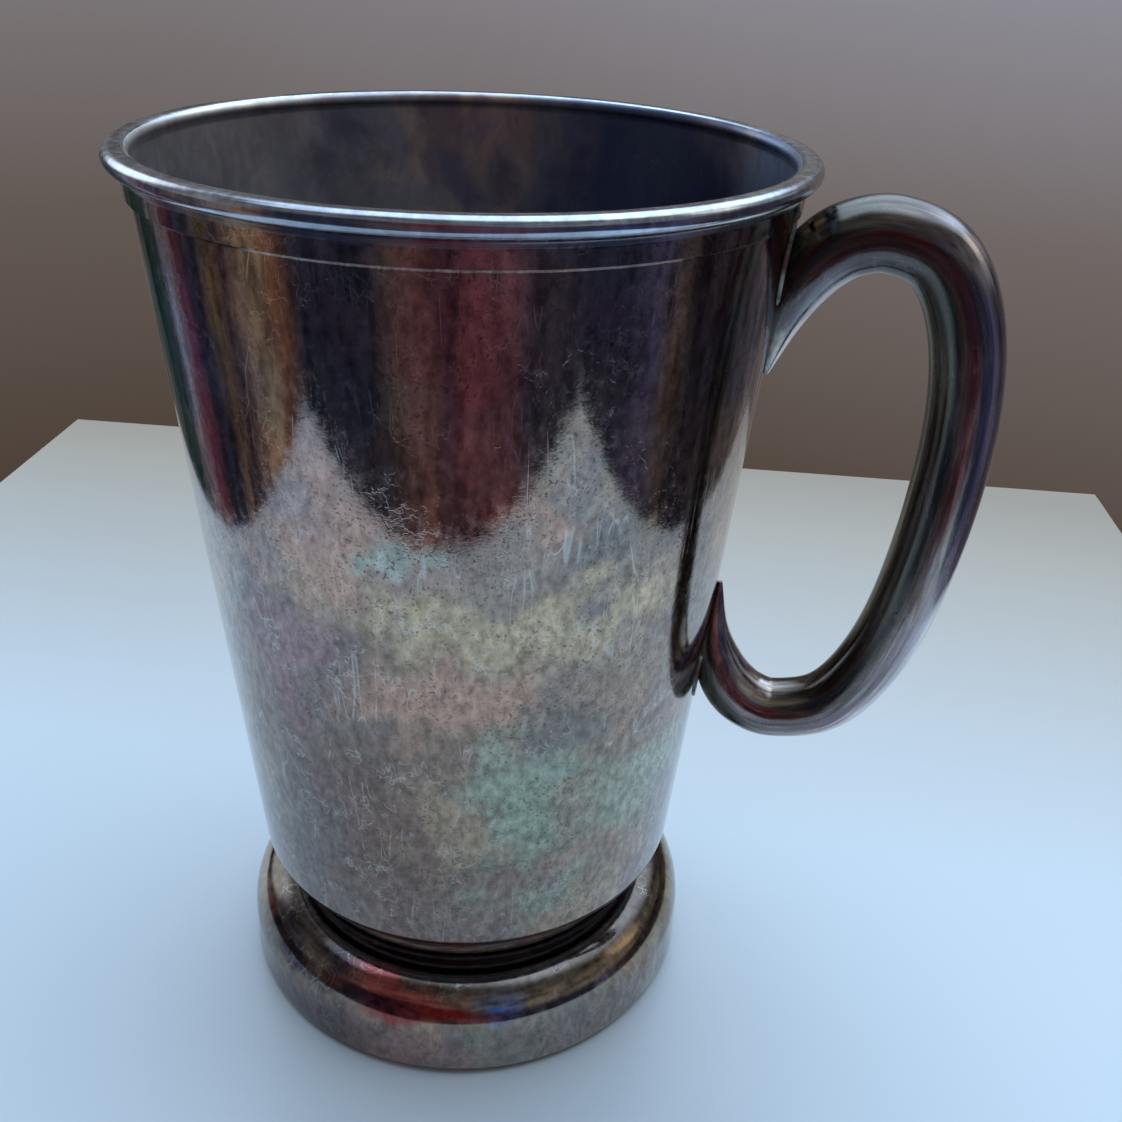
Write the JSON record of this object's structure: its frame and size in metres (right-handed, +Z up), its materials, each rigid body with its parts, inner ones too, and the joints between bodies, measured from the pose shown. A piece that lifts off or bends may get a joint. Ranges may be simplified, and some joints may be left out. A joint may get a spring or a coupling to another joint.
{
  "type": "prize tankard",
  "caption": "Silver-plated prize tankard with a tapering body, a moulded lip, a spreading hollow foot and a hollow scroll handle.",
  "frame": {"origin": "centre of the ring the foot stands on, on the axis of the body, at table level", "axes": "+Z up along the axis of the body, +X towards the handle"},
  "size_m": [0.1245, 0.096, 0.14],
  "materials": {
    "silver_plate": "polished silver plate, worn and unevenly tarnished",
    "nickel_silver": "dull drawn wire",
    "solder": "dull grey soft solder"
  },
  "bodies": {
    "root": {"body_shell": "silver_plate", "base_disc": "silver_plate", "rim_moulding": "silver_plate", "foot_ring": "silver_plate", "foot_wire": "nickel_silver", "base_solder": "solder", "foot_solder": "solder", "handle_left_half": "silver_plate", "handle_right_half": "silver_plate", "handle_upper_solder": "solder", "handle_lower_solder": "solder"}
  },
  "joints": []
}
